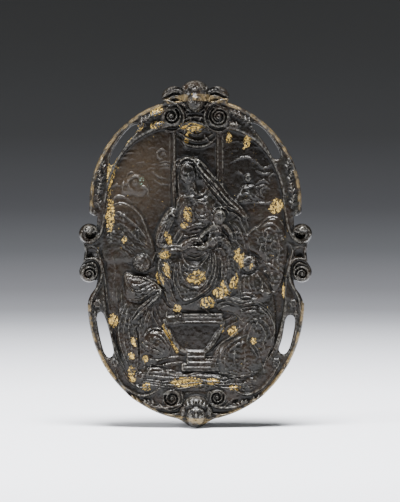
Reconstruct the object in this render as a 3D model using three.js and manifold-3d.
// An oval devotional plaque, cast in one piece of bronze: a strapwork frame with scrolls, pierced by four slots,
// round an oval field. On the field a seated woman with a child sits on a plinth before a niche, between two
// kneeling figures and hills. A winged cherub's head crowns the frame and a small mask closes it below.
// Units are millimetres. +Z is up and the front faces -Y. The origin is on the flat back rim, behind the top scrolls.
import * as THREE from "three";
import { mergeVertices } from "three/addons/utils/BufferGeometryUtils.js";
import Module from "manifold-3d";

const wasm = await Module();
wasm.setup();

// Driving dimensions
const HEIGHT = 200; // from the tip of the mask's chin to the top of the cherub's hair
const DRAWN_HEIGHT = 346.5; // the same height in drawing units
const UNIT = HEIGHT / DRAWN_HEIGHT; // millimetres in one drawing unit
const MOUNT_V = 138; // height of the mounting point above the drawing's centre, in drawing units

// Heights above the plane of the back, in millimetres
const FRAME = 5; // flat of the frame
const RIM = 6.6; // raised outer edge of the frame
const MOULDING = 6.4; // thin ring round the field
const FLOOR = 3.8; // ground of the field
const HOLLOW = 1.6; // depth of the hollow in the back
const SEAT = FLOOR - 1; // level inside the ground from which raised work is built up
const FIGURES = 0.8; // how far the work on the field stands up, as a share of the heights given for it
const THIN = 7.2; // width in drawing units below which a fold has a single crease for its section
const PIERCE = 20; // past both faces, for cutting through

// The drawing: u runs right and v runs up from the centre, in drawing units. Each oval has a centre, a half width,
// its reach up and down and an exponent for each quarter; an exponent of 2 is an ellipse and more is squarer.
const UPPER = { u: 0, v: 52, ru: 105.5, up: 104, down: 104, power: { up: 2, left: 2, right: 2 } };
const LOWER = { u: 0.5, v: -49, ru: 108, up: 117, down: 117, power: { up: 2, left: 2.2, right: 2 } };
const FIELD = { u: -0.5, v: 3, ru: 91.5, up: 125, down: 140, power: { up: 2.8, left: 2.8, right: 2.8 } };
const UPPER_STEP = 41.5; // where the upper straps end, above the side scrolls
const LOWER_STEP = -49; // where the lower straps begin
const WAIST = 97; // half width of the frame behind the side scrolls

// Solids and joins

function solid(geometry) {
  const plain = (geometry.index ? geometry.toNonIndexed() : geometry.clone()).scale(UNIT, UNIT, 1);
  plain.deleteAttribute("normal");
  plain.deleteAttribute("uv");
  const merged = mergeVertices(plain, 1e-4);
  const corners = merged.index.array;
  const kept = [];
  for (let i = 0; i < corners.length; i += 3) {
    const [a, b, c] = corners.slice(i, i + 3);
    if (a !== b && b !== c && c !== a) kept.push(a, b, c);
  }
  const mesh = new wasm.Mesh({
    numProp: 3,
    vertProperties: merged.attributes.position.array,
    triVerts: new Uint32Array(kept),
  });
  return new wasm.Manifold(mesh);
}

function geometryOf(manifold) {
  const mesh = manifold.getMesh();
  const geometry = new THREE.BufferGeometry();
  geometry.setAttribute("position", new THREE.BufferAttribute(mesh.vertProperties, 3));
  geometry.setIndex(new THREE.BufferAttribute(mesh.triVerts, 1));
  geometry.computeVertexNormals();
  return geometry;
}

const joined = (pieces) => wasm.Manifold.union(pieces.flat(Infinity));
const bothSides = (make) => [-1, 1].map((side) => make(side));

// A flat piece between two heights, cut to the outline given as a list of points.
function slab(points, low, high) {
  const shape = new THREE.Shape(points.map(([u, v]) => new THREE.Vector2(u, v)));
  const geometry = new THREE.ExtrudeGeometry(shape, { depth: high - low, bevelEnabled: false });
  return solid(geometry.translate(0, 0, low));
}

function bar(u0, v0, u1, v1, low, high) {
  return slab([[u0, v0], [u1, v0], [u1, v1], [u0, v1]], low, high);
}

// Points along an oval from one angle to another, in degrees, with the oval grown outwards by grow.
function arc(oval, grow, from, to, steps) {
  const points = [];
  for (let i = 0; i <= steps; i += 1) {
    const angle = THREE.MathUtils.degToRad(from + ((to - from) * i) / steps);
    const [c, s] = [Math.cos(angle), Math.sin(angle)];
    const lower = c < 0 ? oval.power.left : oval.power.right;
    const power = 2 / (s > 0 ? oval.power.up : lower);
    const reach = s > 0 ? oval.up : oval.down;
    points.push([
      oval.u + (oval.ru + grow) * Math.sign(c) * Math.abs(c) ** power,
      oval.v + (reach + grow) * Math.sign(s) * Math.abs(s) ** power,
    ]);
  }
  return points;
}

const ring = (oval, grow, steps) => arc(oval, grow, 0, 360, steps).slice(0, -1);

function round(u, v, ru, rv = ru) {
  return { u, v, ru, up: rv, down: rv, power: { up: 2, left: 2, right: 2 } };
}

// A closed outline drawn smoothly through a few points.
function smooth(points, steps) {
  const curve = new THREE.CatmullRomCurve3(points.map(([u, v]) => new THREE.Vector3(u, v, 0)), true);
  return curve.getPoints(steps).slice(0, -1).map((point) => [point.x, point.y]);
}

// A body of cloth or rock: a smooth outline swelling up to height top over a rounded edge.
function mass(points, top, edge = 5, steps = 20) {
  const outline = smooth(points, steps).map(([u, v]) => new THREE.Vector2(u, v));
  const rise = (top - SEAT) * 0.6;
  const geometry = new THREE.ExtrudeGeometry(new THREE.Shape(outline), {
    depth: top - SEAT - rise,
    bevelThickness: rise,
    bevelSize: edge,
    bevelOffset: -edge,
    bevelSegments: 2,
  });
  return solid(geometry.translate(0, 0, SEAT));
}

// Half of an egg standing out of the ground, its top at height top.
function dome(u, v, ru, rv, top, turn = 0, sides = 10) {
  const rings = [0, 34, 66].map((angle) => THREE.MathUtils.degToRad(angle));
  const profile = rings.map((angle) => new THREE.Vector2(Math.cos(angle), Math.sin(angle)));
  const half = new THREE.LatheGeometry([new THREE.Vector2(0, 0), ...profile, new THREE.Vector2(0, 1)], sides);
  half.rotateX(Math.PI / 2).scale(ru, rv, top - SEAT).rotateZ(THREE.MathUtils.degToRad(turn));
  return solid(half.translate(u, v, SEAT));
}

// A rounded ridge along a smooth curve, such as a limb or a fold of cloth. It is thickest in the middle and shrinks
// to the shares given for its two ends.
function ridge(points, width, top, ends = [0.35, 0.25], steps = 5) {
  const path = new THREE.CatmullRomCurve3(points.map(([u, v]) => new THREE.Vector3(u, v, 0)));
  const sides = width < THIN ? 4 : 6;
  const rod = new THREE.CylinderGeometry(1, 1, 1, sides, steps);
  const place = rod.attributes.position;
  for (let i = 0; i < place.count; i += 1) {
    const along = Math.min(Math.max(place.getY(i) + 0.5, 0), 1);
    const centre = path.getPoint(along);
    const ahead = path.getTangent(along);
    const end = along < 0.5 ? ends[0] : ends[1];
    const swell = end + (1 - end) * Math.sin(along * Math.PI) ** 0.7;
    const across = (place.getX(i) * swell * width) / 2;
    const height = SEAT + Math.max(place.getZ(i) * swell * (top - SEAT), -1);
    place.setXYZ(i, centre.x + ahead.y * across, centre.y - ahead.x * across, height);
  }
  return solid(rod);
}

// A strap rolled into a spiral round a small ball; hand is 1 when it unrolls anticlockwise.
function scroll(u, v, outside, turns, hand, start, low, top, perTurn = 11) {
  const steps = Math.round(turns * perTurn);
  const eye = outside * 0.3;
  const pitch = (outside - eye) / (turns + 0.75);
  const edge = (inset) => {
    const points = [];
    for (let i = 0; i <= steps; i += 1) {
      const share = i / steps;
      const radius = outside - inset - pitch * turns * share;
      const angle = THREE.MathUtils.degToRad(start) + hand * share * turns * 2 * Math.PI;
      points.push([u + radius * Math.cos(angle), v + radius * Math.sin(angle)]);
    }
    return points;
  };
  return [slab([...edge(0), ...edge(pitch * 0.55).reverse()], low, top), dome(u, v, eye, eye, top + 0.8, 0, 8)];
}

// The frame's plate: upper and lower straps, the waist between them and the seats of the side scrolls

const SIDE = { u: 106, upper: 20.3, lower: -18, radius: 10.2 };
const OVAL_STEPS = 44;

// The angles at which an oval crosses a level, on its upper or its lower side.
function crossing(oval, level, above) {
  const rise = (level - oval.v) / (above ? oval.up : oval.down);
  const reach = THREE.MathUtils.radToDeg(Math.asin(rise));
  return above ? [reach, 180 - reach] : [180 - reach, 360 + reach];
}

function straps(oval, level, above, grow, low, high) {
  const [from, to] = crossing(oval, level, above);
  return slab(arc(oval, grow, from, to, 30), low, high);
}

// The hollow post between the two side scrolls, and the shoulder that leads from the lower one into the strap.
const POST = [[94, -16], [113.5, -16], [111.6, -7], [110.8, 1], [111.6, 9], [113.5, 16], [94, 16]];
const SHOULDER = [[92, -24], [98.3, -29], [99.5, -33.5], [104.5, -40], [107, -46], [106.5, -58], [92, -60]];

function mirrored(side, points) {
  return points.map(([u, v]) => [side * u, v]);
}

const plate = joined([
  straps(UPPER, UPPER_STEP, true, 0, 0, FRAME),
  straps(LOWER, LOWER_STEP, false, 0, 0, FRAME),
  bar(-WAIST, LOWER_STEP - 2, WAIST, UPPER_STEP + 2, 0, FRAME),
  bothSides((side) => [
    slab(mirrored(side, POST), 0, FRAME),
    slab(mirrored(side, SHOULDER), 0, FRAME),
    slab(ring(round(side * SIDE.u, SIDE.upper, SIDE.radius), 0, 16), 0, FRAME),
    slab(ring(round(side * SIDE.u, SIDE.lower, SIDE.radius), 0, 16), 0, FRAME),
    slab(ring(round(side * 100, 43.5, 5), 0, 10), 0, FRAME),
  ]),
]);

// The rounded rim that stands up along the open edge of the straps

const RIM_WIDTH = 3;
const PAST = 6; // how far past the strap's end the ground inside the rim runs on

function rimOf(oval, level, above) {
  const inside = straps(oval, above ? level - PAST : level + PAST, above, -RIM_WIDTH, FRAME - 1, RIM + 1);
  return straps(oval, level, above, 0, FRAME, RIM).subtract(inside);
}

const rims = [rimOf(UPPER, UPPER_STEP, true), rimOf(LOWER, LOWER_STEP, false)];

// The thin moulding round the field, the sunk ground inside it and the hollow in the back

const moulding = slab(ring(FIELD, 3, OVAL_STEPS), 1, MOULDING);
const sunkField = slab(ring(FIELD, 0, OVAL_STEPS), FLOOR, PIERCE);
const fieldPlate = slab(ring(FIELD, 1.5, OVAL_STEPS), 0, FLOOR);
const fieldLimit = slab(ring(FIELD, 1.5, OVAL_STEPS), 0.5, PIERCE);
const backHollow = slab(ring(FIELD, -9, 36), -1, HOLLOW);

// The four slots between the straps and the moulding: upper left, upper right, lower left and lower right

const SLOTS = [
  [
    [-85.5, 89.5], [-85, 97], [-79.5, 108.5], [-71.5, 120], [-62.5, 128.5], [-57.5, 128.5], [-58.5, 122.5],
    [-68.5, 110.5], [-76.5, 98.5], [-81.5, 89.5],
  ],
  [
    [55.5, 129], [59, 130.5], [67, 125.5], [76, 115], [82.5, 104.5], [85, 97], [81, 94.5], [76.5, 97],
    [71, 107.5], [63.5, 118],
  ],
  [
    [-98.5, -64], [-95.5, -57.5], [-92, -59.5], [-88, -70], [-85, -82], [-81.7, -98], [-86, -103.7], [-91, -99],
    [-96, -81],
  ],
  [
    [90, -65], [93.5, -61], [98, -62], [99.3, -70], [97, -83], [93.5, -95], [88.5, -100.5], [83.2, -96],
    [86.5, -84],
  ],
];

const slots = SLOTS.map((corners) => slab(smooth(corners, 18), -PIERCE, PIERCE));

// Scrolls at the sides, at the top and beside the mask, with the straps that run into them

const scrolls = [
  bothSides((side) => [
    scroll(side * SIDE.u, SIDE.upper, SIDE.radius, 1.15, side, 90 + side * 60, 2, 8, 10),
    scroll(side * SIDE.u, SIDE.lower, SIDE.radius, 1.15, -side, -90 - side * 60, 2, 8, 10),
    ridge([[side * 103, 44], [side * 97, 33], [side * 95.5, 22], [side * 101, 9]], 5, 7.6),
    ridge([[side * 101, -8], [side * 95.5, -18], [side * 96, -30], [side * 103, -40]], 5, 7.6),
  ]),
  scroll(-23, 137, 13, 1.7, -1, 130, 2, 8.2),
  scroll(23.5, 137, 13.5, 2, 1, 50, 2, 8.2),
  scroll(-22, -141, 10.5, 1.5, 1, 100, 2, 8.6),
  scroll(26, -139.5, 10, 1.5, -1, 80, 2, 8.6),
  ridge([[-82, -113], [-74, -127], [-60, -138], [-46, -140], [-31, -133]], 3.5, 7, [0.3, 0.8], 8),
  ridge([[84, -108], [75, -125], [62, -135], [48, -138], [36, -132]], 3.5, 7, [0.3, 0.8], 8),
];

// Rosettes and leaves on the closed parts of the frame

const leaves = [
  bothSides((side) => [
    dome(side * 81, -107, 5.5, 5.5, 7, 0, 8),
    dome(side * 97.5, -49, 5, 5.5, 7, 0, 8),
    dome(side * 95.5, 58, 4.2, 7, 7, side * -6, 8),
    dome(side * 93, 74, 4.2, 7, 7, side * 8, 8),
    dome(side * 42, 134, 7.5, 5, 7.2, side * -32, 8),
    dome(side * 51, 136, 6, 3.6, 6.8, side * -38, 8),
  ]),
];

// The cherub: a face under a cap of hair, between two short wings of three feathers

function wing(side) {
  const feathers = [
    [[8, 162], [20, 166], [31, 161]],
    [[8, 157], [21, 160], [33, 154]],
    [[8, 151], [20, 153], [30, 148]],
  ];
  return feathers.map((points) => ridge(points.map(([u, v]) => [side * u, v]), 7, 9.5, [0.8, 0.5], 4));
}

const cherub = [
  slab(ring(round(-0.5, 158.6, 14.6, 15), 0, 20), 0, FRAME),
  bothSides((side) => slab(ring(round(side * 21.5, 157, 12, 10), 0, 14), 0, FRAME)),
  dome(-0.5, 159.5, 14, 14, 12.5, 0, 12),
  bothSides((side) => dome(side * 9 - 0.5, 160, 4.5, 8, 12.5, side * 8, 8)),
  dome(-0.5, 153, 9, 11.5, 14.6, 0, 10),
  dome(-0.5, 151.5, 1.8, 4, 15.8, 0, 8),
  bothSides(wing),
];

// The mask: brow, cheeks, nose and a chin that makes the plaque's lowest point

const mask = [
  slab(ring(round(0.5, -160.5, 13, 12.5), 0, 20), 0, FRAME),
  dome(0.5, -150, 13, 9.5, 12.5, 0, 12),
  dome(0.5, -158, 11, 13, 14.8, 0, 12),
  dome(0.5, -155, 3, 5, 16.6, 0, 8),
  dome(0.5, -167, 5, 4.5, 15, 0, 8),
  bothSides((side) => dome(side * 12 + 0.5, -156, 5, 7, 11, side * 20, 8)),
  bothSides((side) => ridge([[side * 15, -157], [side * 30, -157], [side * 46, -150]], 5, 7.4)),
];

// Behind the figures: the niche with its pilasters and swag, clouds, an angel and hills

const setting = [
  bar(-25, 40, -20.5, 118, 1, FLOOR + 1.2),
  bar(20.5, 48, 27.5, 118, 1, FLOOR + 1.6),
  ridge([[-20, 117], [-9, 109], [4, 107], [19, 116]], 6, 6.6),
  ridge([[-16, 121], [-2, 131], [12, 122]], 7, 7.2),
  ridge([[-86, 56], [-76, 75], [-62, 80], [-49, 68]], 6, 5.8),
  ridge([[-72, 68], [-62, 71], [-52, 62]], 8, 6),
  ridge([[44, 92], [56, 91], [66, 86], [76, 91]], 5, 6),
  dome(51, 76, 5, 5.5, 6.6, 0, 8),
  mass([[41, 55], [50, 69], [61, 56], [51, 53]], 5.6, 3, 10),
  mass([[-90, 30], [-74, 50], [-58, 40], [-45, 12], [-44, -10], [-60, -6], [-88, -4]], 6, 4, 16),
  mass([[-88, -2], [-70, 6], [-62, -10], [-66, -36], [-84, -30]], 5.2, 4, 12),
  mass([[52, 10], [66, 30], [80, 37], [91, 22], [90, -10], [80, -30], [70, -12], [64, 2]], 6.4, 4, 16),
];

// The seated woman: veiled head, shoulders, arm and knees under the mantle's sweeping folds

const woman = [
  mass([
    [-9, 98], [6, 86], [24, 66], [44, 46], [55, 24], [54, -4], [48, -34], [30, -50], [0, -55], [-28, -49],
    [-38, -26], [-36, 8], [-32, 34], [-20, 56], [-19, 80],
  ], 7, 6, 34),
  ridge([[-16, 66], [-17, 84], [-9, 97], [4, 90], [7, 78]], 8, 9.6, [0.6, 0.5]),
  dome(-8.5, 80, 7, 10, 12.4, 6),
  ridge([[-7, 74], [-5, 58]], 8, 10.5, [0.9, 0.9], 2),
  mass([[-18, 58], [-6, 66], [14, 58], [21, 42], [14, 26], [-2, 22], [-16, 30]], 10.4, 8, 14),
  ridge([[-15, 56], [-27, 42], [-32, 22], [-22, 9], [-6, 11]], 12, 11.6, [0.7, 0.5], 7),
  ridge([[-6, 93], [6, 83], [18, 68], [32, 53], [45, 39], [51, 22]], 9, 10.4, [0.4, 0.3], 7),
  ridge([[8, 66], [24, 51], [39, 36], [44, 14], [41, -4]], 9, 10, [0.4, 0.4], 6),
  dome(-23, -8, 13, 15, 12, 0, 8),
  dome(29, -12, 13, 18, 12.5, 0, 8),
  ridge([[-20, -4], [-17, -28], [-6, -43], [6, -34], [13, -14], [17, 5]], 9, 12, [0.4, 0.6], 7),
  ridge([[-12, -8], [-8, -26], [2, -32], [9, -16], [14, 3]], 6.5, 11, [0.4, 0.5]),
  ridge([[20, 6], [24, -16], [14, -36], [-8, -50]], 9.5, 12.4, [0.6, 0.3]),
  ridge([[28, 6], [39, -14], [35, -34], [16, -50]], 9, 11.4, [0.5, 0.3]),
  ridge([[-30, 2], [-31, -20], [-26, -44]], 9.5, 10.4, [0.6, 0.3], 4),
];

const child = [
  dome(24, 39, 7, 7.5, 13.6, 0, 8),
  ridge([[23, 33], [17, 20], [14, 6]], 13, 12.6, [0.8, 0.8], 4),
  ridge([[17, 28], [8, 21], [-4, 13]], 5.5, 12.4, [0.9, 0.6], 4),
  ridge([[16, 9], [28, 11], [38, 2], [42, -8]], 7, 12.2, [0.9, 0.5]),
  ridge([[12, 8], [4, 3], [-4, -3]], 6.5, 12, [0.9, 0.6], 3),
];

// The kneeling figure on the left, turned away, in a hooded mantle that falls to the ground

const leftSaint = [
  mass([
    [-62, -20], [-46, -22], [-34, -36], [-40, -56], [-40, -76], [-27, -82], [-26, -100], [-44, -112], [-66, -118],
    [-80, -98], [-82, -66], [-76, -40],
  ], 7.4, 5, 26),
  dome(-54, -8, 9.5, 9.5, 11.4),
  mass([[-70, -26], [-56, -22], [-40, -28], [-36, -38], [-50, -54], [-68, -48]], 10.4, 5, 14),
  ridge([[-69, -22], [-57, -25], [-44, -28], [-36, -37]], 7.5, 12, [0.5, 0.3], 4),
  ridge([[-36, -38], [-48, -50], [-63, -66]], 11, 12.6, [0.5, 0.3], 4),
  ridge([[-42, -32], [-56, -42], [-68, -58], [-72, -78]], 9, 12, [0.4, 0.3]),
  ridge([[-67, -40], [-75, -66], [-76, -96]], 8.5, 10.2, [0.5, 0.3]),
  ridge([[-60, -56], [-67, -84], [-65, -112]], 9, 10.6, [0.4, 0.3]),
  ridge([[-50, -56], [-57, -80], [-54, -106]], 8.5, 9.8, [0.4, 0.3]),
  ridge([[-53, -84], [-43, -78], [-33, -84], [-28, -97]], 9.5, 9.8, [0.5, 0.3]),
  dome(-42, -90, 12, 8, 9.2, -28, 8),
];

// The kneeling figure on the right, reaching up to the child

const rightSaint = [
  mass([
    [50, -20], [64, -18], [78, -34], [86, -62], [82, -94], [66, -120], [40, -126], [20, -116], [19, -98], [34, -80],
    [42, -62], [16, -54], [20, -44], [46, -36],
  ], 7.4, 5, 30),
  dome(55, -9, 8.5, 9.5, 12.4),
  dome(51, -17, 4.5, 6, 10.8, 0, 6),
  mass([[48, -28], [64, -22], [74, -38], [68, -52], [50, -50]], 10.4, 5, 12),
  ridge([[66, -30], [60, -42], [46, -48], [24, -47]], 10, 11.6, [0.8, 0.5]),
  ridge([[44, -54], [30, -55], [15, -50]], 8, 10.4, [0.7, 0.6], 4),
  ridge([[72, -34], [80, -58], [77, -88]], 9, 10, [0.5, 0.3]),
  mass([[24, -104], [34, -90], [54, -90], [64, -104], [56, -120], [34, -122]], 10, 6, 14),
  ridge([[50, -68], [36, -80], [22, -96]], 8.5, 10.4),
  ridge([[60, -58], [54, -74], [56, -92]], 9, 11, [0.4, 0.3]),
  ridge([[73, -60], [72, -86], [66, -114]], 9, 10, [0.4, 0.3]),
];

// The plinth: a cornice over a block that narrows like a basin, two steps and broken ground

const plinth = [
  bar(-26, -67.5, 30, -59.5, 1, 9),
  slab(smooth([[-25, -64], [1, -64], [27, -64], [25, -82], [13, -98], [-8, -99], [-20, -88]], 20), 1, 6.4),
  bar(-13, -107.5, 20, -98, 1, 7),
  bar(-24, -115, 26, -106, 1, 8),
  dome(-34, -119, 30, 11, 7.4, -8),
  dome(34, -123, 30, 9, 7.2, 8),
  ridge([[-62, -124], [-44, -118], [-26, -123], [-8, -118], [14, -122], [34, -118]], 7, 8.6, [0.4, 0.4], 9),
  ridge([[-40, -130], [-20, -126], [2, -130], [24, -127], [44, -131]], 6, 8.2, [0.4, 0.4], 8),
];

// One casting

const frame = joined([plate, rims, moulding]).subtract(sunkField);
const drawn = joined([setting, woman, child, leftSaint, rightSaint, plinth]);
const lowered = drawn.translate([0, 0, -FLOOR]).scale([1, 1, FIGURES]).translate([0, 0, FLOOR]);
const relief = lowered.intersect(fieldLimit);
const pierced = joined([frame, fieldPlate, relief]).subtract(joined([backHollow, slots]));
const behind = bar(-200, -300, 200, 300, -PIERCE, 0);
const cast = joined([pierced, scrolls, leaves, cherub, mask]).subtract(behind);

const bronze = new THREE.MeshStandardMaterial({ color: 0x2e2721, roughness: 0.42, metalness: 0.75 });
const plaque = new THREE.Mesh(geometryOf(cast), bronze);
plaque.name = "plaque";
plaque.rotation.x = Math.PI / 2;
plaque.position.z = -MOUNT_V * UNIT;

const group = new THREE.Group();
group.add(plaque);

export default group;
